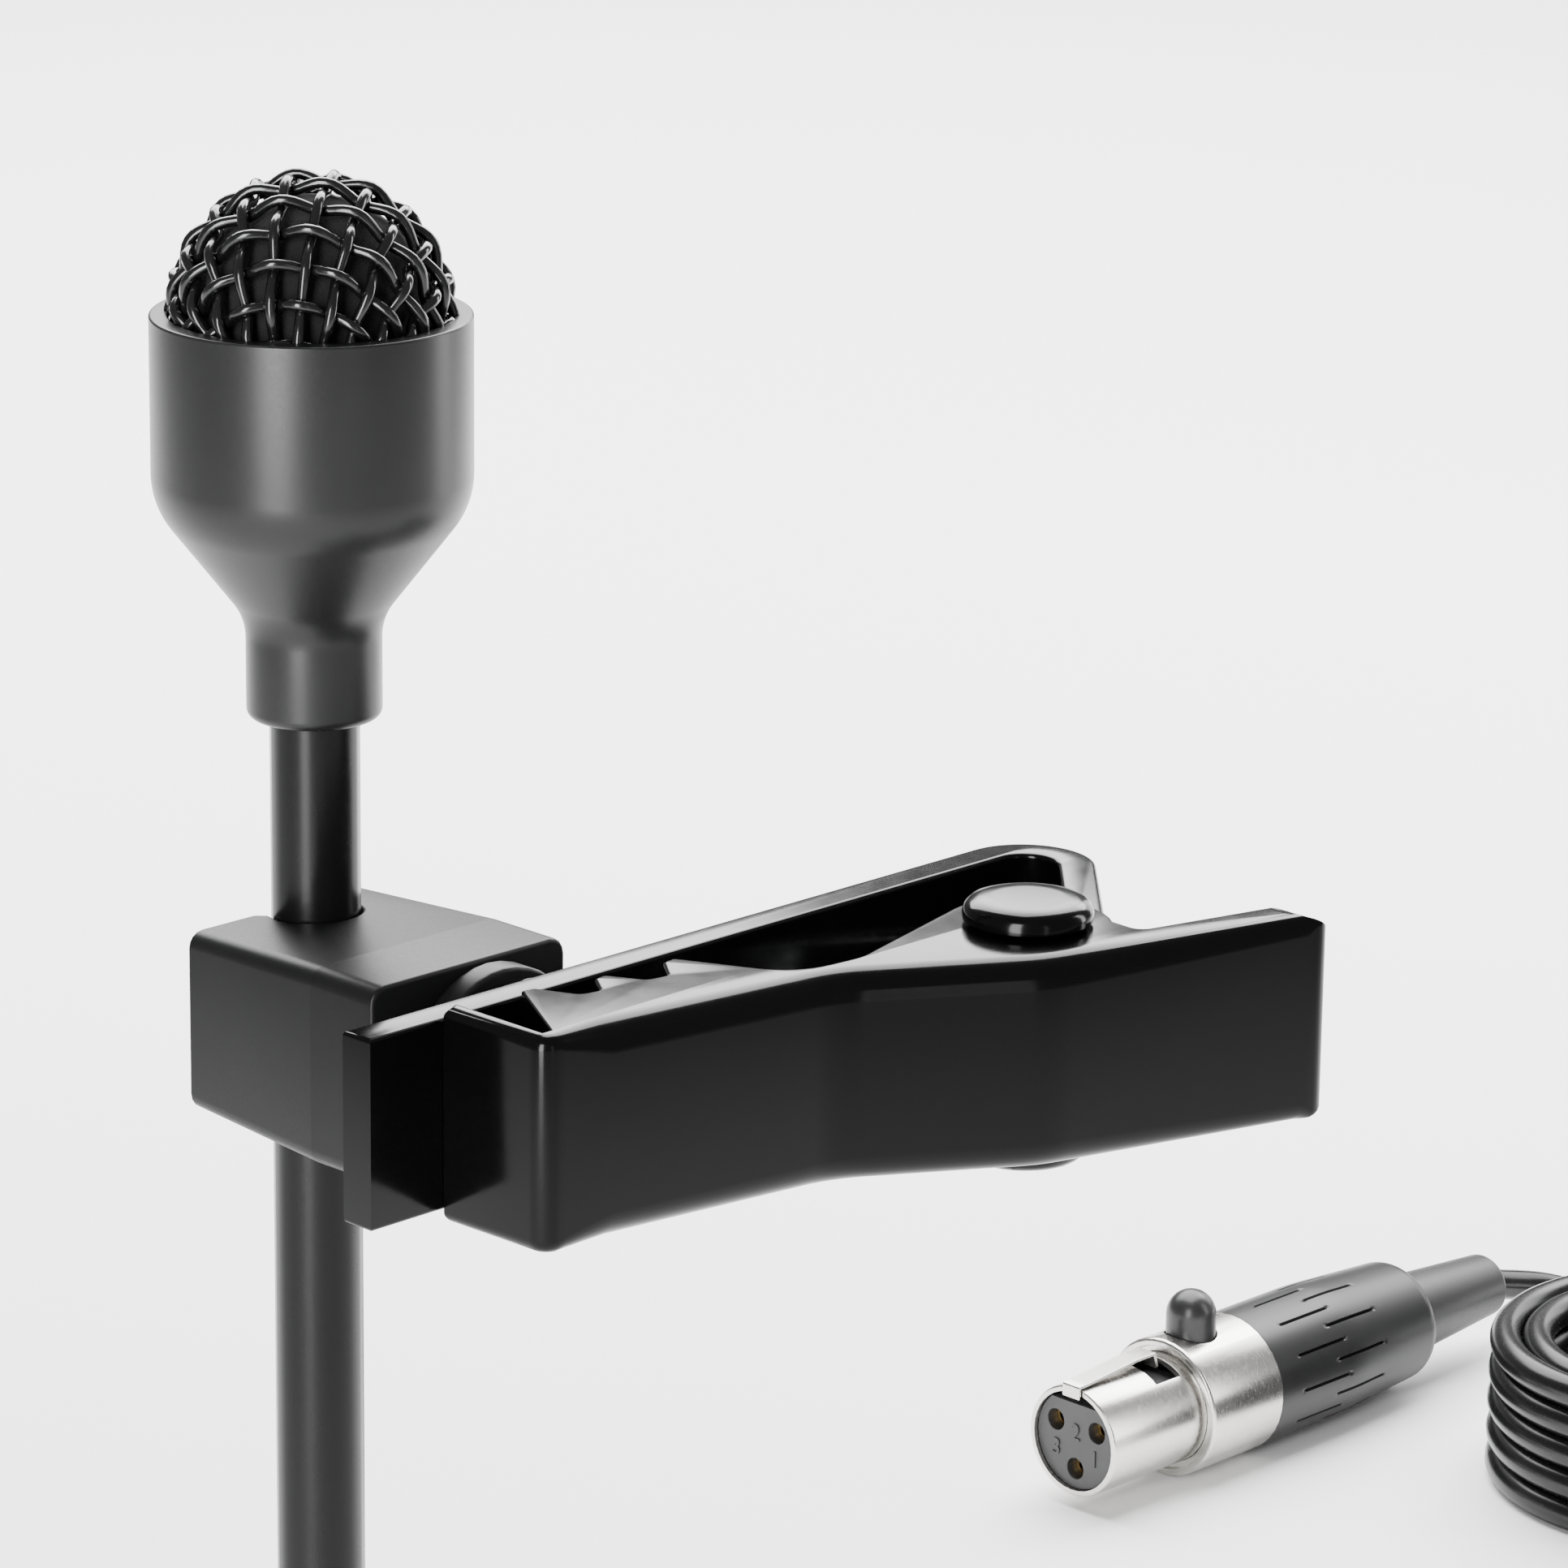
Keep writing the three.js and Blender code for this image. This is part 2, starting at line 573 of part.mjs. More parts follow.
function button() {
  const sphere = BARREL_R + 1.25;
  const dome = Array.from({ length: 7 }, (_, i) => {
    const a = Math.PI / 2 * i / 6;
    return [BUTTON_R * Math.cos(a), sphere + BUTTON_R * Math.sin(a)];
  });
  dome.at(-1)[0] = 0;
  return turned([[0, 3.3], [BUTTON_R, 3.3], ...dome], 24).translate(NOSE_L + BUTTON_S, 0, 0);
}

function buttonSpring() {
  const [low, high, radius, wire, turns] = [1.45, 3.05, 0.95, 0.16, 4];
  const points = Array.from({ length: 41 }, (_, i) => {
    const a = turns * 2 * Math.PI * i / 40;
    return new THREE.Vector3(radius * Math.cos(a), radius * Math.sin(a), low + (high - low) * i / 40);
  });
  return along(new THREE.CatmullRomCurve3(points), wire, 80, 6).translate(NOSE_L + BUTTON_S, 0, 0);
}

add('plug_nose', noseShell(), metal.nickel, PLUG);
add('plug_insert', insert(), black.holder, PLUG);
SOCKETS.forEach(([y, z], i) => {
  add(`contact_${i + 1}`, contact(), metal.gold, [PLUG[0], PLUG[1] + y, PLUG[2] + z]);
});
add('plug_barrel', barrel(), metal.nickel, PLUG);
add('plug_carrier', carrier(), black.holder, PLUG);
add('latch_spring', latchSpring(), metal.nickel, PLUG);
add('release_button', button(), black.satin, PLUG);
add('button_spring', buttonSpring(), metal.steel, PLUG);
add('plug_sleeve', sleeve(), black.satin, PLUG);
add('cable_chuck', chuck(), black.holder, PLUG);
add('strain_relief', boot(), black.rubber, PLUG);
add('plug_cable_end', plugCableEnd(), black.cable, PLUG);

// ---- the cable ----
const [cx, cy] = COIL_C;
const bend = 9; // where the hanging cable turns onto the floor
const heading = degrees(35);
const hangPoints = [[0, HEAD_Y, NECK_Z - CORD_GAP], [0, HEAD_Y, -30], [0, HEAD_Y, -70], [0, HEAD_Y, -105]];
for (let i = 0; i <= 4; i += 1) {
  const a = Math.PI / 2 * i / 4;
  const out = bend * (1 - Math.cos(a));
  hangPoints.push([
    out * Math.cos(heading), HEAD_Y + out * Math.sin(heading), LAID_Z + bend * (1 - Math.sin(a)),
  ]);
}
hangPoints.push(
  [45, 40, LAID_Z], [85, 66, LAID_Z], [125, 86, LAID_Z], [165, 99, LAID_Z], [200, 105.5, LAID_Z],
);

// up over the coil's outer turns, along a line that touches the inner ones: [distance, height]
const coilHigh = 2 * CABLE_R * COIL_LAYERS;
const touch = degrees(-45);
for (const [back, up] of [[38, 0], [28, 1.8], [18, 7.2], [11, 11.6], [7.4, 11.7], [4, 11.5]]) {
  hangPoints.push([
    cx + COIL_R[1] * Math.cos(touch) + back * Math.sin(touch),
    cy + COIL_R[1] * Math.sin(touch) - back * Math.cos(touch), LAID_Z + up,
  ]);
}

// on the floor, off the coil's outer turn and round to the plug
const [leadFrom, leadTo] = [degrees(-30), degrees(44)];
const leadR = [COIL_R[0] + 2.6, 28.8];
const leadPoints = Array.from({ length: 7 }, (_, i) => {
  const t = i / 6;
  const a = leadFrom + (leadTo - leadFrom) * t;
  const r = leadR[0] + (leadR[1] - leadR[0]) * t ** 1.6;
  return [cx + r * Math.cos(a), cy + r * Math.sin(a), LAID_Z];
});
const plugEnd = PLUG[0] + NOSE_L + BARREL_L + SLEEVE_L + BOOT_L;
leadPoints.push([plugEnd + 6.8, PLUG[1] - 1.1, PLUG[2] - 1.9], [plugEnd + CORD_GAP, PLUG[1], PLUG[2]]);

function route(points) {
  return new THREE.CatmullRomCurve3(points.map((p) => new THREE.Vector3(...p)), false, 'centripetal');
}

add('cable_run', along(route(hangPoints), CABLE_R, 72, 8), black.cable);
add('cable_coil', turned([
  [COIL_R[1] - CABLE_R, FLOOR_Z], [COIL_R[0] + CABLE_R, FLOOR_Z],
  [COIL_R[0] + CABLE_R, FLOOR_Z + coilHigh], [COIL_R[1] - CABLE_R, FLOOR_Z + coilHigh],
], 48), black.cable, [cx, cy, 0]);
add('cable_lead', along(route(leadPoints), CABLE_R, 20, 8), black.cable);

export default object;
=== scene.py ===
"""Lavalier microphone: a domed capsule on a thin cable, its sliding clip, and the plug on its end."""
import json
import math

import bmesh
import bpy
from mathutils import Matrix, Vector
from mathutils.geometry import tessellate_polygon


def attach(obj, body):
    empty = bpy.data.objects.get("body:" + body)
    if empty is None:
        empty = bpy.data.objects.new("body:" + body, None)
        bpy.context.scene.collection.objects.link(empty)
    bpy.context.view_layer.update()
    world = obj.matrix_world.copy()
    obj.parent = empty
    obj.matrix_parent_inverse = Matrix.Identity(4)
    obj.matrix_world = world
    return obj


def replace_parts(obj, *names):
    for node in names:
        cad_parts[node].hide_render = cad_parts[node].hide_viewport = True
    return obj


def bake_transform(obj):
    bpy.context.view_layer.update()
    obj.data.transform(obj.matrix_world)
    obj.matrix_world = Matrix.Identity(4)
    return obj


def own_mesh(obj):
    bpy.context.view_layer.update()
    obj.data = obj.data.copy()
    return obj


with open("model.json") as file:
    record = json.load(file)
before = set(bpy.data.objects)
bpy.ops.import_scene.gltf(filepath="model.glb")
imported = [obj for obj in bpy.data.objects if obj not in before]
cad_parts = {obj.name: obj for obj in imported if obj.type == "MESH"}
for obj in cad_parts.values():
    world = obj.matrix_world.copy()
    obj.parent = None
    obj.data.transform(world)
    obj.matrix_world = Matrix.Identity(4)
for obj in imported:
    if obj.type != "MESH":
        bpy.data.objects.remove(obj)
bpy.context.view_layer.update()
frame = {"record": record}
MM = 0.001

# ---- places and sizes from the CAD model, mm ----
HEAD_Y = 8.45
HEAD_R = 3.87
HEAD_BORE = 3.42
RIM_Z = 17.2
NECK_Z = 7.25
DOME_R = 3.28
DOME_Z = 17.1
WIRE_R = 0.135
CABLE_R = 1.1
PIN = (11.18, -4.84)
PLUG = (215.4, 175.7, -119.75)
BUTTON_S = 12.0     # stations along the plug, from its front face
SLEEVE_S = 16.3
BOOT_S = 34.5
PLUG_LENGTH = 44.6
BUTTON_AT = (PLUG[0] + BUTTON_S, PLUG[1], PLUG[2])
FLOOR_Z = PLUG[2] - 4.95
LAID_Z = FLOOR_Z + CABLE_R
COIL_C = (250.3, 149.6)
COIL_R = (12.97, 10.73)     # outer and inner turns
COIL_LAYERS = 5
SWIVEL_Y = 1.68     # the swivel disc's front


# ---- materials ----
def material(name, color, roughness, metallic=0.0, coat=0.0, grain=0.0, grain_size=0.2, bump=0.0,
             mottle=0.12, stretch=(1, 1, 1), specular=0.5):
    """A surface with fine grain: noise moves its roughness and colour, and raises a small bump.
    grain_size is in mm, bump in mm, and stretch draws the grain out along an axis."""
    made = bpy.data.materials.new(name)
    made.use_nodes = True
    nodes, links = made.node_tree.nodes, made.node_tree.links
    shader = nodes["Principled BSDF"]
    shader.inputs["Metallic"].default_value = metallic
    shader.inputs["Coat Weight"].default_value = coat
    shader.inputs["Coat Roughness"].default_value = 0.08
    shader.inputs["Specular IOR Level"].default_value = specular
    place = nodes.new("ShaderNodeTexCoord")
    mapping = nodes.new("ShaderNodeMapping")
    mapping.inputs["Scale"].default_value = [s / (grain_size * MM) for s in stretch]
    links.new(place.outputs["Object"], mapping.inputs["Vector"])
    fine = nodes.new("ShaderNodeTexNoise")
    fine.inputs["Scale"].default_value = 1.0
    fine.inputs["Detail"].default_value = 3.0
    links.new(mapping.outputs["Vector"], fine.inputs["Vector"])
    wide = nodes.new("ShaderNodeTexNoise")
    wide.inputs["Scale"].default_value = 1 / (3.0 * MM)
    wide.inputs["Detail"].default_value = 2.0
    links.new(place.outputs["Object"], wide.inputs["Vector"])
    tone = nodes.new("ShaderNodeMapRange")
    tone.inputs["From Min"].default_value = 0.3
    tone.inputs["From Max"].default_value = 0.7
    tone.inputs["To Min"].default_value = roughness - grain
    tone.inputs["To Max"].default_value = roughness + grain
    links.new(fine.outputs["Fac"], tone.inputs["Value"])
    links.new(tone.outputs["Result"], shader.inputs["Roughness"])
    ramp = nodes.new("ShaderNodeValToRGB")
    ramp.color_ramp.elements[0].position = 0.3
    ramp.color_ramp.elements[1].position = 0.7
    ramp.color_ramp.elements[0].color = [c * (1 - mottle) for c in color] + [1]
    ramp.color_ramp.elements[1].color = [c * (1 + mottle) for c in color] + [1]
    links.new(wide.outputs["Fac"], ramp.inputs["Fac"])
    links.new(ramp.outputs["Color"], shader.inputs["Base Color"])
    if bump:
        raised = nodes.new("ShaderNodeBump")
        raised.inputs["Strength"].default_value = 1.0
        raised.inputs["Distance"].default_value = bump * MM
        links.new(fine.outputs["Fac"], raised.inputs["Height"])
        links.new(raised.outputs["Normal"], shader.inputs["Normal"])
    return made


M = {
    "housing": material("satin_black_metal", (0.013, 0.013, 0.0135), 0.34, grain=0.02, grain_size=0.09,
                        bump=0.0006),
    "wire": material("blackened_wire", (0.006, 0.006, 0.0065), 0.2, coat=0.4, grain=0.05,
                     grain_size=0.12, specular=0.6),
    "felt": material("black_felt", (0.006, 0.006, 0.006), 0.95, grain=0.04, grain_size=0.06, bump=0.03),
    "rubber": material("black_rubber", (0.012, 0.012, 0.012), 0.42, grain=0.05, grain_size=0.15,
                       bump=0.004),
    "aluminium": material("drawn_aluminium", (0.62, 0.63, 0.64), 0.3, 1.0, grain=0.08, grain_size=0.3,
                          stretch=(1, 1, 0.1), bump=0.002),
    "steel": material("bright_steel", (0.46, 0.47, 0.48), 0.26, 1.0, grain=0.06, grain_size=0.1,
                      bump=0.001),
    "film": material("metallised_film", (0.6, 0.56, 0.48), 0.3, 0.6, grain=0.05, grain_size=0.5),
    "copper": material("copper_alloy", (0.6, 0.3, 0.16), 0.3, 1.0, grain=0.06, grain_size=0.2,
                       bump=0.001),
    "ivory": material("ivory_plastic", (0.68, 0.64, 0.54), 0.5, grain=0.05, grain_size=0.2, bump=0.002),
    "laminate": material("green_laminate", (0.03, 0.12, 0.05), 0.35, grain=0.06, grain_size=0.3, bump=0.003,
                         mottle=0.3),
    "holder": material("matt_black_plastic", (0.008, 0.008, 0.0083), 0.40, grain=0.03, grain_size=0.07,
                       bump=0.0012, specular=0.25),
    "insert": material("dark_grey_plastic", (0.028, 0.028, 0.029), 0.45, grain=0.05, grain_size=0.12,
                       bump=0.003),
    "red": material("red_insulation", (0.4, 0.02, 0.02), 0.4, grain=0.05),
    "white": material("white_insulation", (0.7, 0.7, 0.68), 0.4, grain=0.05),
    "cable": material("black_cable_jacket", (0.005, 0.005, 0.0053), 0.26, grain=0.015, grain_size=0.3,
                      bump=0.0008, specular=0.35),
    "gloss": material("gloss_black_enamel", (0.002, 0.002, 0.0022), 0.15, grain=0.015,
                      grain_size=0.6, bump=0.0006, specular=0.25),
    "nickel": material("satin_nickel", (0.66, 0.645, 0.62), 0.25, 1.0, grain=0.03, grain_size=0.12,
                       stretch=(1, 0.25, 0.25), bump=0.0002, mottle=0.03),
    "gold": material("gold_plate", (0.83, 0.56, 0.2), 0.2, 1.0, grain=0.04, grain_size=0.1, bump=0.001),
    "sleeve": material("satin_black_sleeve", (0.010, 0.010, 0.0103), 0.34, grain=0.02, grain_size=0.1,
                       bump=0.0008, specular=0.4),
}
SLOT_LOOK = {
    "satin_black": "housing", "black_wire": "wire", "felt": "felt", "black_rubber": "rubber",
    "aluminium": "aluminium", "steel": "steel", "film": "film", "copper": "copper",
    "ivory_plastic": "ivory", "laminate": "laminate", "black_plastic": "holder", "red_insulation": "red",
    "white_insulation": "white", "cable_jacket": "cable", "gloss_black": "gloss", "nickel": "nickel",
    "gold": "gold",
}
SLOT_OF = {part["node"]: part["material_slot"] for part in frame["record"]["subparts"]}
BODY_OF = {node: body for body, nodes in frame["record"]["behaviour"]["bodies"].items() for node in nodes}
for node in SLOT_OF:
    cad = bpy.data.objects[node]
    cad.data.materials.clear()
    cad.data.materials.append(M[SLOT_LOOK[SLOT_OF[node]]])


# ---- making pieces ----
def placed(name, data):
    """A new object in the scene."""
    made = bpy.data.objects.new(name, data)
    bpy.context.scene.collection.objects.link(made)
    return made


def smoothed(mesh, angle):
    """Smooth shading but for edges sharper than the angle, in degrees."""
    mesh.shade_smooth()
    mesh.set_sharp_from_angle(angle=math.radians(angle))


def piece(name, mesh, body, look, angle=35):
    """A finished mesh as a piece, riding on a body. With no body the piece is left unattached."""
    made = placed(name, mesh)
    mesh.materials.clear()
    mesh.materials.append(M[look])
    smoothed(mesh, angle)
    if body:
        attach(made, body)
    return made


def settled(made):
    """Applies an object's modifiers to its mesh, so nothing is left to compute."""
    graph = bpy.context.evaluated_depsgraph_get()
    mesh = bpy.data.meshes.new_from_object(made.evaluated_get(graph))
    made.modifiers.clear()
    made.data = mesh
    return made


def mesh_of(data):
    """A curve or a text as a mesh."""
    source = placed("source", data)
    mesh = bpy.data.meshes.new_from_object(source.evaluated_get(bpy.context.evaluated_depsgraph_get()))
    bpy.data.objects.remove(source)
    return mesh


def refined(node, width, segments=3, angle=28, look=None):
    """A CAD node again with its edges rounded over by width, in mm, to catch the light."""
    body = BODY_OF[node]
    slot = SLOT_OF[node]
    mesh = bpy.data.objects[node].data.copy()
    shape = bmesh.new()
    shape.from_mesh(mesh)
    bmesh.ops.remove_doubles(shape, verts=shape.verts, dist=0.002 * MM)
    bmesh.ops.dissolve_limit(shape, angle_limit=math.radians(1.5), verts=shape.verts, edges=shape.edges)
    shape.to_mesh(mesh)
    shape.free()
    made = piece(node + "_fine", mesh, body, look or SLOT_LOOK[slot])
    bevel = made.modifiers.new("edges", "BEVEL")
    bevel.width = width * MM
    bevel.segments = segments
    bevel.limit_method = "ANGLE"
    bevel.angle_limit = math.radians(angle)
    bevel.use_clamp_overlap = True
    bevel.harden_normals = True
    settled(made)
    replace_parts(made, node)
    return made


def rounded(points, steps=6):
    """An outline with its [x, y, radius] corners rounded; the ends are kept."""
    out = []
    for i, (x, y, *rest) in enumerate(points):
        radius = rest[0] if rest else 0
        if not radius or i in (0, len(points) - 1):
            out.append(Vector((x, y)))
            continue
        corner = Vector((x, y))
        before = (Vector(points[i - 1][:2]) - corner).normalized()
        after = (Vector(points[i + 1][:2]) - corner).normalized()
        half = before.angle(after) / 2
        middle = corner + (before + after).normalized() * radius / math.sin(half)
        start = corner + before * radius / math.tan(half) - middle
        end = corner + after * radius / math.tan(half) - middle
        turn = start.angle_signed(end)
        out += [middle + Matrix.Rotation(-turn * k / steps, 2) @ start for k in range(steps + 1)]
    return out


def circle(shape, r, h, facets):
    """A ring of new vertices about Z, at a radius and a height in mm."""
    angles = [2 * math.pi * k / facets for k in range(facets)]
    return [shape.verts.new((r * MM * math.cos(a), r * MM * math.sin(a), h * MM)) for a in angles]


def lathe_mesh(name, profile, place, axis="Z", facets=96, close=True):
    """A surface of revolution from (radius, height) points in mm; close joins the profile's ends."""
    shape = bmesh.new()
    rings = []
    for r, h in profile:
        if r < 1e-6:
            rings.append([shape.verts.new((0, 0, h * MM))])
            continue
        rings.append(circle(shape, r, h, facets))
    pairs = list(zip(rings, rings[1:])) + ([(rings[-1], rings[0])] if close else [])
    for low, high in pairs:
        if len(low) == 1 and len(high) == 1:
            continue
        for k in range(facets):
            n = (k + 1) % facets
            corners = [low[k % len(low)], low[n % len(low)], high[n % len(high)], high[k % len(high)]]
            shape.faces.new(list(dict.fromkeys(corners)))
    bmesh.ops.recalc_face_normals(shape, faces=shape.faces)
    if axis == "X":
        bmesh.ops.rotate(shape, verts=shape.verts, matrix=Matrix.Rotation(math.pi / 2, 3, "Y"))
    bmesh.ops.translate(shape, verts=shape.verts, vec=Vector(place) * MM)
    mesh = bpy.data.meshes.new(name)
    shape.to_mesh(mesh)
    shape.free()
    return mesh


def lathe(node, profile, place, axis="Z", facets=96):
    """A CAD node turned again from a finer profile."""
    name, slot = node + "_fine", SLOT_OF[node]
    mesh = lathe_mesh(name, profile, place, axis, facets)
    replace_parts(piece(name, mesh, BODY_OF[node], SLOT_LOOK[slot]), node)


def line_curve(name, lines, radius, round_steps=3):
    """Round wires of one radius, in mm, along lists of points in mm."""
    data = bpy.data.curves.new(name, "CURVE")
    data.dimensions = "3D"
    data.bevel_depth = radius * MM
    data.bevel_resolution = round_steps
    data.use_fill_caps = True
    for points in lines:
        spline = data.splines.new("POLY")
        spline.points.add(len(points) - 1)
        for spot, p in zip(spline.points, points):
            spot.co = (*(Vector(p) * MM), 1)
        spline.use_smooth = True
    return data


def wires(name, lines, radius, body, look, round_steps=3):
    """The same wires as one mesh piece."""
    return piece(name, mesh_of(line_curve(name, lines, radius, round_steps)), body, look, angle=60)


def smooth_line(points, step=0.6):
    """A centripetal spline through points in mm, sampled about every step."""
    points = [Vector(p) for p in points]
    padded = [2 * points[0] - points[1], *points, 2 * points[-1] - points[-2]]
    out = []
    for a, b, c, d in zip(padded, padded[1:], padded[2:], padded[3:]):
        t1 = (b - a).length ** 0.5
        t2 = t1 + (c - b).length ** 0.5
        t3 = t2 + (d - c).length ** 0.5
        count = max(1, round((c - b).length / step))
        for i in range(count):
            t = t1 + (t2 - t1) * i / count
            ab = a.lerp(b, t / t1)
            bc = b.lerp(c, (t - t1) / (t2 - t1))
            cd = c.lerp(d, (t - t2) / (t3 - t2))
            abc = ab.lerp(bc, t / t2)
            bcd = bc.lerp(cd, (t - t1) / (t3 - t1))
            out.append(abc.lerp(bcd, (t - t1) / (t2 - t1)))
    return out + [points[-1]]


# ---- camera ----
camera = placed("camera", bpy.data.cameras.new("camera"))
bpy.context.scene.camera = camera
camera.data.sensor_width = 36
camera.data.lens = 153.8
camera.data.clip_start = 0.01
camera.data.clip_end = 10
CAMERA_AT = Vector((-103.34, -109.01, 51.12)) * MM
YAW, TILT, ROLL = (math.radians(a) for a in (44.489, 16.241, 0.7096))
ahead = Vector((math.cos(YAW) * math.cos(TILT), math.sin(YAW) * math.cos(TILT), -math.sin(TILT)))
level = Vector((math.sin(YAW), -math.cos(YAW), 0))
upward = level.cross(ahead)
right = level * math.cos(ROLL) + upward * math.sin(ROLL)
top = upward * math.cos(ROLL) - level * math.sin(ROLL)
camera.matrix_world = Matrix.Translation(CAMERA_AT) @ Matrix((right, top, -ahead)).transposed().to_4x4()


# ---- the cable: hanging, along the floor, ten turns in the coil, and into the plug ----
def coil_line():
    """From the top inner turn down to the bottom outer one, laid in flat layers of two turns."""
    start, share = math.radians(-45), 60
    order = []
    for layer in range(COIL_LAYERS - 1, -1, -1):
        pair = [(1, layer), (0, layer)]
        order += pair if (COIL_LAYERS - 1 - layer) % 2 == 0 else pair[::-1]
    out = []
    last = 360 * len(order) + 10
    for u in range(0, last, 6):
        turn = min(u // 360, len(order) - 1)
        t = max(0, (u - 360 * turn - (360 - share)) / share) if turn < len(order) - 1 else 0
        ease = t * t * (3 - 2 * t)
        here, there = order[turn], order[min(turn + 1, len(order) - 1)]
        r = COIL_R[here[0]] + (COIL_R[there[0]] - COIL_R[here[0]]) * ease
        z = 2 * CABLE_R * (here[1] + (there[1] - here[1]) * ease)
        a = start + math.radians(u)
        out.append((COIL_C[0] + r * math.cos(a), COIL_C[1] + r * math.sin(a), LAID_Z + z))
    return out


BEND_R, HEADING, TOUCH = 9, math.radians(35), math.radians(-45)
run = [(0, HEAD_Y, z) for z in (NECK_Z, -10, -30, -50, -70, -90, -105)]
for i in range(5):
    a = math.pi / 2 * i / 4
    out = BEND_R * (1 - math.cos(a))
    run.append((out * math.cos(HEADING), HEAD_Y + out * math.sin(HEADING),
                LAID_Z + BEND_R * (1 - math.sin(a))))
run += [(x, y, LAID_Z) for x, y in ((45, 40), (85, 66), (125, 86), (165, 99), (200, 105.5))]
for back, up in ((38, 0), (28, 1.6), (18, 6.9), (11, 10.9), (7.4, 11.1), (4, 10.4)):
    run.append((
        COIL_C[0] + COIL_R[1] * math.cos(TOUCH) + back * math.sin(TOUCH),
        COIL_C[1] + COIL_R[1] * math.sin(TOUCH) - back * math.cos(TOUCH), LAID_Z + up,
    ))
lead = []
for i in range(1, 7):
    t = i / 6
    a = math.radians(-30 + 74 * t)
    r = COIL_R[0] + (28.8 - COIL_R[0]) * t ** 1.6
    lead.append((COIL_C[0] + r * math.cos(a), COIL_C[1] + r * math.sin(a), LAID_Z))
plug_end = PLUG[0] + PLUG_LENGTH
lead += [(plug_end + 6.8, PLUG[1] - 1.1, PLUG[2] - 1.9), (plug_end, PLUG[1], PLUG[2])]
route = smooth_line(run + coil_line() + lead)
cable = placed("cable", line_curve("cable", [route], CABLE_R, 6))
cable.data.materials.append(M["cable"])
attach(cable, "microphone")
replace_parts(cable, "cable_run", "cable_coil", "cable_lead")


# ---- the microphone's head ----
def head_profile():
    outside = rounded([
        (CABLE_R + 0.03, NECK_Z), (1.65, NECK_Z, 0.25), (1.65, 9.75, 1.48), (HEAD_R, 12.61, 2.1),
        (HEAD_R, RIM_Z, 0.07), (HEAD_BORE, RIM_Z, 0.05), (HEAD_BORE, 13.0),
    ], 10)
    return [(p.x, p.y) for p in outside] + [(2.5, 13.0), (1.36, 10.6), (1.36, 8.9), (CABLE_R + 0.03, 8.9)]


lathe("mic_housing", head_profile(), (0, HEAD_Y, 0), facets=160)


def woven_dome():
    """A plain weave of round wires, laid on a flat sheet and drawn over the dome; a skirt runs down inside
    the rim. Each wire passes over one crossing wire and under the next."""
    pitch, rise, skirt, steps, spun = 0.93, 0.13, 0.9, 6, 38
    reach = DOME_R * math.pi / 2 + skirt
    count = int(reach / pitch) + 1
    lines = []
    for family in (0, 1):
        for i in range(-count, count + 1):
            across = (i + 0.5) * pitch
            line = []
            for k in range(-count * steps, count * steps + 1):
                way = k * pitch / steps
                lift = rise * math.sin(math.pi * way / pitch) * (-1) ** (i + family)
                spot = Vector((across, way) if family == 0 else (way, across))
                far = spot.length
                if far > reach:
                    continue
                spot.normalize()
                if far < DOME_R * math.pi / 2:
                    polar = far / DOME_R
                    r, z = (DOME_R + lift) * math.sin(polar), (DOME_R + lift) * math.cos(polar)
                else:
                    r, z = DOME_R + 0.4 * lift, DOME_R * math.pi / 2 - far
                line.append((spot.x * r, HEAD_Y + spot.y * r, DOME_Z + z))
            if len(line) > 3:
                lines.append(line)
    turned = Matrix.Rotation(math.radians(spun), 3, "Z")
    centre = Vector((0, HEAD_Y, 0))
    return [[turned @ (Vector(p) - centre) + centre for p in line] for line in lines]


LINER_R, LINER_SHRINK, LINER_FOOT = 2.92, 0.9, DOME_Z - 0.85
bowl = [(LINER_R * math.cos(math.pi / 2 * i / 24), DOME_Z + LINER_R * math.sin(math.pi / 2 * i / 24))
        for i in range(24)]
inside_bowl = [(r * LINER_SHRINK, DOME_Z + (z - DOME_Z) * LINER_SHRINK) for r, z in reversed(bowl)]
liner = [(LINER_R, LINER_FOOT), *bowl, (0, DOME_Z + LINER_R), (0, DOME_Z + LINER_R - 0.3),
         *inside_bowl, (LINER_R * LINER_SHRINK, LINER_FOOT)]
piece("dome_liner", lathe_mesh("dome_liner", liner, (0, HEAD_Y, 0), facets=64), "microphone",
      "felt")
dome = wires("woven_dome", woven_dome(), WIRE_R, "microphone", "wire", 3)
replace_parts(dome, "grille_dome")


# ---- the holder, its swivel and the clip ----
refined("holder_block", 0.14, 4, 25)
refined("swivel_disc", 0.12, 3)


# ---- the front arm ----
ARM_HALF, ARM_WEB, HUB_R = 2.65, 0.9, 2.1
TIP = (-3.57, -3.4)
BEND = (4.9, TIP[1] + 8.47 * math.tan(math.radians(-8.5)))
LEVER = (9.3, -7.42)
LEVER_END, LEVER_T, END_CORNER, END_T = 17.45, 1.2, 1.2, 0.4
LEVER_TILT = math.radians(-14.4)
ARM_SHARP = 32      # degrees, the edges of both arms that stay crisp
PIN_HOLE, BACK_PIN_HOLE = 0.74, 0.72


def lever_y(x):
    """The lever's outer face at x."""
    return LEVER[1] + (x - LEVER[0]) * math.tan(LEVER_TILT)


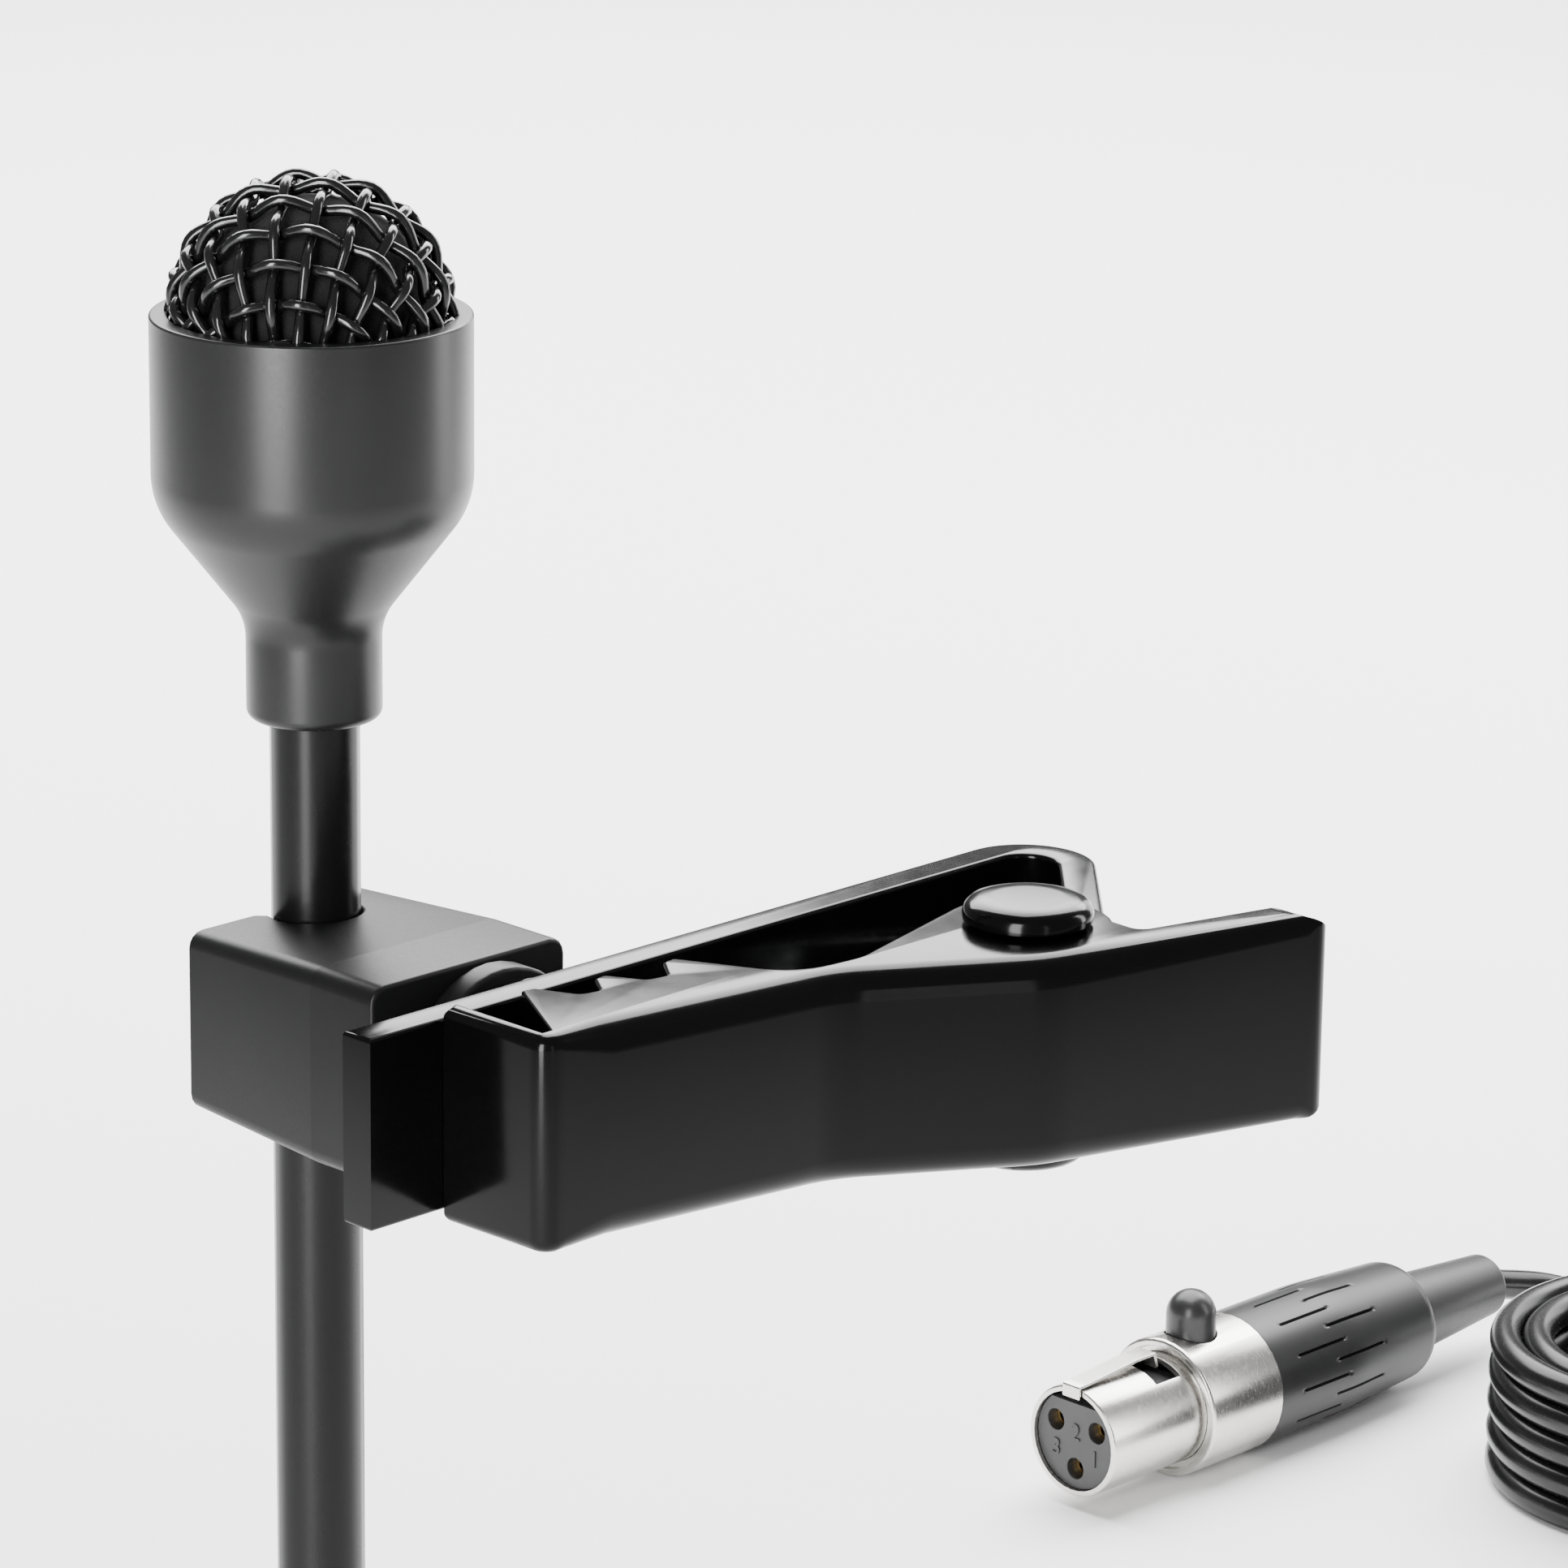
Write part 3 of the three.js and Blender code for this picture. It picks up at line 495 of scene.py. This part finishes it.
def arm_outline():
    """The arm in plan, counter-clockwise, as (point, edge radius): the outer edges are rounded most.
    Its corners are (x, y, corner radius, edge radius)."""
    rise = LEVER_T / math.cos(LEVER_TILT)
    soft, crisp = 0.72, 0.1
    hub = [math.radians(-40 + 143 * i / 16) for i in range(17)]
    corners = [
        (*TIP, 0.55, 0.33), (-2.9, TIP[1] - 0.1, 0, 0.4), (-1.6, TIP[1] - 0.294, 0, soft),
        (*BEND, 3.5, soft), (*LEVER, 4, soft),
        (LEVER_END - 1, lever_y(LEVER_END - 1), 0, 0.5), (LEVER_END, lever_y(LEVER_END), 0.45, 0.3),
        (LEVER_END - 0.3, lever_y(LEVER_END - 0.3) + rise, 0.3, 0.12),
        (12.75, lever_y(12.75) + rise, 0.35, crisp),
        *[(PIN[0] + HUB_R * math.cos(a), PIN[1] + HUB_R * math.sin(a), 0, crisp) for a in hub],
        (6.3, -3.95, 1.6, crisp), (4.3, -3.75, 1.8, crisp), (2.95, -0.98, 0.12, crisp),
        (2.55, -1.04, 0.15, crisp), (1.95, -1.82, 0.3, crisp), (1.35, -1.72, 0.2, crisp),
        (0.86, -0.78, 0.12, crisp), (0.5, -0.84, 0.15, crisp), (0, -1.56, 0.3, crisp),
        (-0.55, -1.44, 0.2, crisp), (-1.02, -0.36, 0.12, crisp), (-1.4, -0.36, 0, 0.06),
        (-2.9, -2.95, 0, 0.05), (TIP[0] + END_T, -2.95, 0, 0.05), (TIP[0] + END_T, -0.03, 0, 0.05),
        (TIP[0], -0.03, 0, 0.26),
    ]
    out = []
    for i, (x, y, radius, edge) in enumerate(corners):
        trio = [corners[i - 1][:2], (x, y, radius), corners[(i + 1) % len(corners)][:2]]
        out += [(p, edge) for p in rounded(trio, 8)[1:-1]]
    return out


def prism(name, outline, low, high):
    """An outline in mm raised from low to high."""
    shape = bmesh.new()
    faces = [shape.verts.new((x * MM, y * MM, low * MM)) for x, y in outline]
    made = bmesh.ops.extrude_face_region(shape, geom=[shape.faces.new(faces)])
    top_verts = [v for v in made["geom"] if isinstance(v, bmesh.types.BMVert)]
    bmesh.ops.translate(shape, verts=top_verts, vec=(0, 0, (high - low) * MM))
    bmesh.ops.recalc_face_normals(shape, faces=shape.faces)
    mesh = bpy.data.meshes.new(name)
    shape.to_mesh(mesh)
    shape.free()
    return placed(name, mesh)


def boolean(target, tool, operation):
    """Joins or cuts the target with the tool, which is used up."""
    change = target.modifiers.new(operation, "BOOLEAN")
    change.operation = operation
    change.solver = "EXACT"
    change.object = tool
    settled(target)
    bpy.data.objects.remove(tool)


def soft_prism(name, outline, half_height, body, round_steps=7):
    """A plan outline of (point, edge radius) as a solid, rounded over along its upper and lower edges."""
    spots = [p for p, _ in outline]
    inward = []
    for i, p in enumerate(spots):
        a = (p - spots[i - 1]).normalized()
        b = (spots[(i + 1) % len(spots)] - p).normalized()
        na, nb = Vector((-a.y, a.x)), Vector((-b.y, b.x))
        inward.append((na + nb) / max(0.6, 1 + na.dot(nb)))
    shape = bmesh.new()
    rings = []
    for side in (-1, 1):
        for k in (range(round_steps, -1, -1) if side < 0 else range(round_steps + 1)):
            a = math.pi / 2 * k / round_steps
            ring = []
            for p, n, (_, edge) in zip(spots, inward, outline):
                q = p + n * edge * (1 - math.cos(a))
                z = side * (half_height - edge * (1 - math.sin(a)))
                ring.append(shape.verts.new((q.x * MM, q.y * MM, z * MM)))
            rings.append(ring)
    for low, high in zip(rings, rings[1:]):
        for k in range(len(spots)):
            n = (k + 1) % len(spots)
            shape.faces.new((low[k], low[n], high[n], high[k]))
    for ring in (rings[0], rings[-1]):
        flat = [Vector((v.co.x, v.co.y, 0)) for v in ring]
        for tri in tessellate_polygon([flat]):
            shape.faces.new([ring[i] for i in tri])
    bmesh.ops.recalc_face_normals(shape, faces=shape.faces)
    mesh = bpy.data.meshes.new(name)
    shape.to_mesh(mesh)
    shape.free()
    return piece(name, mesh, body, "gloss")


def pin_rod(radius, low, high, steps=48):
    """A cylinder round the clip's pin, to cut with."""
    ring = [(PIN[0] + radius * math.cos(2 * math.pi * i / steps),
             PIN[1] + radius * math.sin(2 * math.pi * i / steps)) for i in range(steps)]
    return prism("pin_rod", ring, low, high)


def corner_cutter(side):
    """What is cut away to round the thumb lever's upper or lower corner."""
    r = END_CORNER
    angles = [math.pi / 2 * i / 12 for i in range(13)]
    arc = [(LEVER_END - r + r * math.sin(a), ARM_HALF - r + r * math.cos(a)) for a in angles]
    outline = [*arc, (LEVER_END + 0.5, ARM_HALF - r), (LEVER_END + 0.5, ARM_HALF + 0.5),
               (LEVER_END - r, ARM_HALF + 0.5)]
    cutter = prism("corner", [(x, side * z) for x, z in outline], 5, 12)
    cutter.data.transform(Matrix.Rotation(math.pi / 2, 4, "X"))
    return cutter


def finish_arm(arm, node):
    smoothed(arm.data, ARM_SHARP)
    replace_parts(arm, node)


def front_arm():
    """The jaw: a soft prism, hollow inside, with three teeth, the pin's hole and a rounded lever end."""
    arm = soft_prism("front_arm_fine", arm_outline(), ARM_HALF, "jaw")
    inside, side = ARM_HALF - ARM_WEB, PIN[0] + HUB_R + 0.12
    bottom = rounded([
        (side, 3), (side, lever_y(side) + LEVER_T + 0.1), (LEVER[0] + 0.5, LEVER[1] + 0.95, 2.4),
        (BEND[0] - 0.1, BEND[1] + 0.95, 3.4), (TIP[0] + 0.5, TIP[1] + 0.85), (TIP[0] + 0.5, 3),
    ], 8)
    boolean(arm, prism("hollow", bottom, -inside, inside), "DIFFERENCE")
    for x, y, foot in ((-1.35, -0.6, -3.2), (0.48, -1.05, -3.5), (2.5, -1.25, -3.8)):
        bar = [(x, y), (x - 0.1, foot), (x + 0.6, foot), (x + 0.42, y)]
        boolean(arm, prism("tooth", bar, -inside - 0.2, inside + 0.2), "UNION")
    boolean(arm, pin_rod(PIN_HOLE, -4, 4), "DIFFERENCE")
    for side in (-1, 1):
        boolean(arm, corner_cutter(side), "DIFFERENCE")
    finish_arm(arm, "front_arm")


front_arm()

PLATE_T, PLATE_HALF, PLATE_LEFT, LOOP_R = 0.95, 2.35, -5.82, 1.77
LOOP_C = (15.47, PLATE_T - LOOP_R)


def turned_tool(name, profile):
    """A solid turned about the swivel's axis, +Y, to join or cut with."""
    mesh = lathe_mesh(name, profile, (0, 0, 0), close=False)
    mesh.transform(Matrix.Rotation(-math.pi / 2, 4, "X"))
    return placed(name, mesh)


def back_arm():
    """The back plate, its spring loop, and the leg to the pin, with the swivel's boss behind it."""
    def arc(radius):
        angles = [math.radians(90 - 135 * i / 22) for i in range(23)]
        return [Vector(LOOP_C) + radius * Vector((math.cos(a), math.sin(a))) for a in angles]

    outer, inner = arc(LOOP_R), arc(LOOP_R - PLATE_T)
    leg = Vector((-1, -1)).normalized() * 5.9
    strap = [Vector((PLATE_LEFT, 0)), *inner, inner[-1] + leg, outer[-1] + leg, *outer[::-1],
             Vector((PLATE_LEFT, PLATE_T))]
    arm = soft_prism("back_arm_fine", [(p, 0.11) for p in strap], PLATE_HALF, "clip", 4)
    web = ARM_HALF - ARM_WEB - 0.08
    boolean(arm, pin_rod(1.5, -web, web), "UNION")
    boss = [(0, 0.3), (2.33, 0.3), (2.33, PLATE_T - 0.02), (2.12, PLATE_T + 0.28),
            (2.1, SWIVEL_Y - 0.12), (2.03, SWIVEL_Y - 0.05), (0, SWIVEL_Y - 0.05)]
    boolean(arm, turned_tool("boss", boss), "UNION")
    for low, high in ((web, 4), (-4, -web)):
        boolean(arm, pin_rod(HUB_R + 0.12, low, high), "DIFFERENCE")
    boolean(arm, pin_rod(1.62, -0.9, 0.9), "DIFFERENCE")
    boolean(arm, pin_rod(BACK_PIN_HOLE, -4, 4), "DIFFERENCE")
    sink = [(0, -0.1), (1.33, -0.1), (0.65, 0.63), (0.65, 3), (0, 3)]
    boolean(arm, turned_tool("sink", sink), "DIFFERENCE")
    finish_arm(arm, "back_arm")


back_arm()
CAP = [(0, 2.68), (1.3, 2.68), (1.6, 2.78), (1.6, 2.95), (1.55, 3.1), (1.42, 3.22), (1.2, 3.275),
       (0.9, 3.28), (0, 3.28)]
for side, node in ((1, "pin_cap_top"), (-1, "pin_cap_bottom")):
    lathe(node, [(r, side * h) for r, h in CAP], (*PIN, 0), facets=64)


def spring_line():
    """Three and a bit turns round the pin, with a leg on the back plate and a leg in the lever."""
    radius, high = 1.17, 0.65
    first, last = math.radians(135), math.radians(245.2 + 1080)

    def at(a, z, reach):
        return (PIN[0] + radius * math.cos(a) + reach * math.sin(a),
                PIN[1] + radius * math.sin(a) - reach * math.cos(a), z)

    steps = 90
    turns = [at(first + (last - first) * i / steps, high * (1 - 2 * i / steps), 0)
             for i in range(steps + 1)]
    return [at(first, high, 5.42), at(first, high, 3), at(first, high, 1), *turns,
            at(last, -high, -0.8), at(last, -high, -2.3)]


SPRING_WIRE_R, BLEND_HALF = 0.175, 0.6
spring = wires("torsion_spring_fine", [spring_line()], SPRING_WIRE_R, None, "steel", 3)
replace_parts(spring, "torsion_spring")
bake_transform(spring)


# ---- the plug ----
def fluted_sleeve():
    """The grip sleeve, with two staggered rings of fine slits sunk along it."""
    facets, rows = 240, 130
    slits, depth, half = 12, 0.3, 0.024
    start, end = 0.02, BOOT_S - SLEEVE_S
    outline = rounded([(4.2, start), (4.92, start, 0.08), (4.92, 8.5, 30), (4.3, end, 1.3), (3.1, end)], 14)
    total = [0]
    for a, b in zip(outline, outline[1:]):
        total.append(total[-1] + (b - a).length)
    profile = []
    for k in range(rows + 1):
        want = total[-1] * k / rows
        j = max(i for i, t in enumerate(total) if t <= want + 1e-9)
        j = min(j, len(outline) - 2)
        profile.append(outline[j].lerp(outline[j + 1], (want - total[j]) / (total[j + 1] - total[j])))
    spans = ((2.2, 7.6), (6.0, 11.6))
    shape = bmesh.new()
    rings = []
    for p in profile:
        ring = []
        for k in range(facets):
            a = 2 * math.pi * k / facets
            sunk = 0
            for n, (low, high) in enumerate(spans):
                turn = (a / (2 * math.pi) * slits + n / 2) % 1
                off = min(turn, 1 - turn) / slits * 2 * math.pi
                along = min(p.y - low, high - p.y)
                if off < half and along > 0:
                    sunk = max(sunk, depth * (1 - (off / half) ** 2) * min(1, along / 0.5))
            r = p.x - sunk
            ring.append(shape.verts.new((r * MM * math.cos(a), r * MM * math.sin(a), p.y * MM)))
        rings.append(ring)
    rings += [circle(shape, r, h, facets) for r, h in ((3.1, end - 2.1), (3.55, end - 2.1), (4.2, 0.1))]
    for low, high in zip(rings, rings[1:] + rings[:1]):
        for k in range(facets):
            n = (k + 1) % facets
            shape.faces.new((low[k], low[n], high[n], high[k]))
    bmesh.ops.recalc_face_normals(shape, faces=shape.faces)
    bmesh.ops.rotate(shape, verts=shape.verts, matrix=Matrix.Rotation(math.pi / 2, 3, "Y"))
    bmesh.ops.translate(shape, verts=shape.verts,
                        vec=Vector((PLUG[0] + SLEEVE_S, PLUG[1], PLUG[2])) * MM)
    mesh = bpy.data.meshes.new("plug_sleeve_fine")
    shape.to_mesh(mesh)
    shape.free()
    made = piece("plug_sleeve_fine", mesh, "microphone", "sleeve", angle=50)
    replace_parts(made, "plug_sleeve")


fluted_sleeve()
boot = rounded([(1.13, 31.4), (3.0, 31.4), (3.0, BOOT_S), (2.95, BOOT_S + 0.6), (2.25, PLUG_LENGTH, 0.55),
                (1.13, PLUG_LENGTH)], 8)
lathe("strain_relief", [(p.x, p.y) for p in boot], PLUG, axis="X", facets=80)
refined("plug_nose", 0.07, 3, 30)
refined("plug_barrel", 0.1, 3, 30)
refined("plug_insert", 0.06, 2, 35, look="insert")
refined("latch_spring", 0.06, 2, 35)
KNOB_R, KNOB_FOOT, KNOB_NECK, KNOB_STEPS = 1.75, 3.3, 6.2, 14
quarter = [math.pi / 2 * i / KNOB_STEPS for i in range(KNOB_STEPS)]
knob = [(0, KNOB_FOOT), (KNOB_R, KNOB_FOOT),
        *[(KNOB_R * math.cos(a), KNOB_NECK + KNOB_R * math.sin(a)) for a in quarter],
        (0, KNOB_NECK + KNOB_R)]
lathe("release_button", knob, BUTTON_AT, facets=72)


def button_coils():
    """Four turns of spring under the button."""
    radius, foot, height, turns, steps = 0.95, 1.45, 1.6, 4, 96
    angles = [2 * math.pi * turns * i / steps for i in range(steps + 1)]
    return [Vector(BUTTON_AT) + Vector((radius * math.cos(a), radius * math.sin(a),
                                        foot + height * i / steps)) for i, a in enumerate(angles)]


button_spring = wires("button_spring_fine", [button_coils()], 0.14, "microphone", "steel", 2)
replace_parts(button_spring, "button_spring")
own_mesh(button_spring)


def digit(text, y, z):
    """A raised numeral on the plug's front face."""
    data = bpy.data.curves.new("numeral_" + text, "FONT")
    data.body = text
    data.size = 1.7 * MM
    data.extrude = 0.09 * MM
    data.offset = 0.004 * MM
    data.align_x = data.align_y = "CENTER"
    mesh = mesh_of(data)
    facing = Matrix(((0, 0, -1), (-1, 0, 0), (0, 1, 0))).to_4x4()
    place = Matrix.Translation(Vector((PLUG[0] + 0.35, PLUG[1] + y, PLUG[2] + z)) * MM)
    mesh.transform(place @ facing)
    return piece("numeral_" + text, mesh, "microphone", "insert", angle=30)


numerals = [digit("1", -1.75, -1.0), digit("2", 0, 0.5), digit("3", 1.75, -1.0)]

# ---- floor and light ----
floor_mesh = bpy.data.meshes.new("floor")
HALF_FLOOR = 4.0    # m
corners = [(x * HALF_FLOOR, y * HALF_FLOOR, FLOOR_Z * MM) for x, y in ((-1, -1), (1, -1), (1, 1), (-1, 1))]
floor_mesh.from_pydata(corners, [], [(0, 1, 2, 3)])
floor = placed("floor", floor_mesh)
pale = bpy.data.materials.new("pale_floor")
pale.use_nodes = True
paint = pale.node_tree.nodes["Principled BSDF"].inputs
paint["Base Color"].default_value = (0.93, 0.93, 0.93, 1)
paint["Roughness"].default_value = 0.9
paint["Specular IOR Level"].default_value = 0.1
floor_mesh.materials.append(pale)

world = bpy.data.worlds.new("studio")
bpy.context.scene.world = world
world.use_nodes = True
sky = world.node_tree.nodes["Background"].inputs
sky["Color"].default_value = (1, 1, 1, 1)
sky["Strength"].default_value = 0.22


def panel(name, at, toward, width, height, radiance):
    """A soft rectangular light of even radiance; places and sizes in metres."""
    data = bpy.data.lights.new(name, "AREA")
    data.shape = "RECTANGLE"
    data.size = width
    data.size_y = height
    data.energy = radiance * math.pi * width * height
    made = placed(name, data)
    made.location = at
    made.rotation_euler = (Vector(toward) - Vector(at)).to_track_quat("-Z", "Y").to_euler()


def upright(name, azimuth, distance, low, high, width, radiance):
    """An upright panel round the microphone: azimuth from +X in degrees, facing the cable."""
    a = math.radians(azimuth)
    middle = (low + high) / 2
    at = (distance * math.cos(a), HEAD_Y * MM + distance * math.sin(a), middle)
    panel(name, at, (0, HEAD_Y * MM, middle), width, high - low, radiance)


panel("overhead", (0.47, 0.46, 0.34), (0.47, 0.46, -0.1), 0.78, 0.78, 11.0)
upright("key", 203, 0.5, -0.11, 0.40, 0.17, 17.0)
upright("side", 334, 0.5, -0.10, 0.35, 0.08, 10.0)
upright("rim", 15, 0.6, -0.05, 0.35, 0.25, 5.0)
upright("band", 256, 0.6, -0.11, 0.30, 0.07, 1.2)
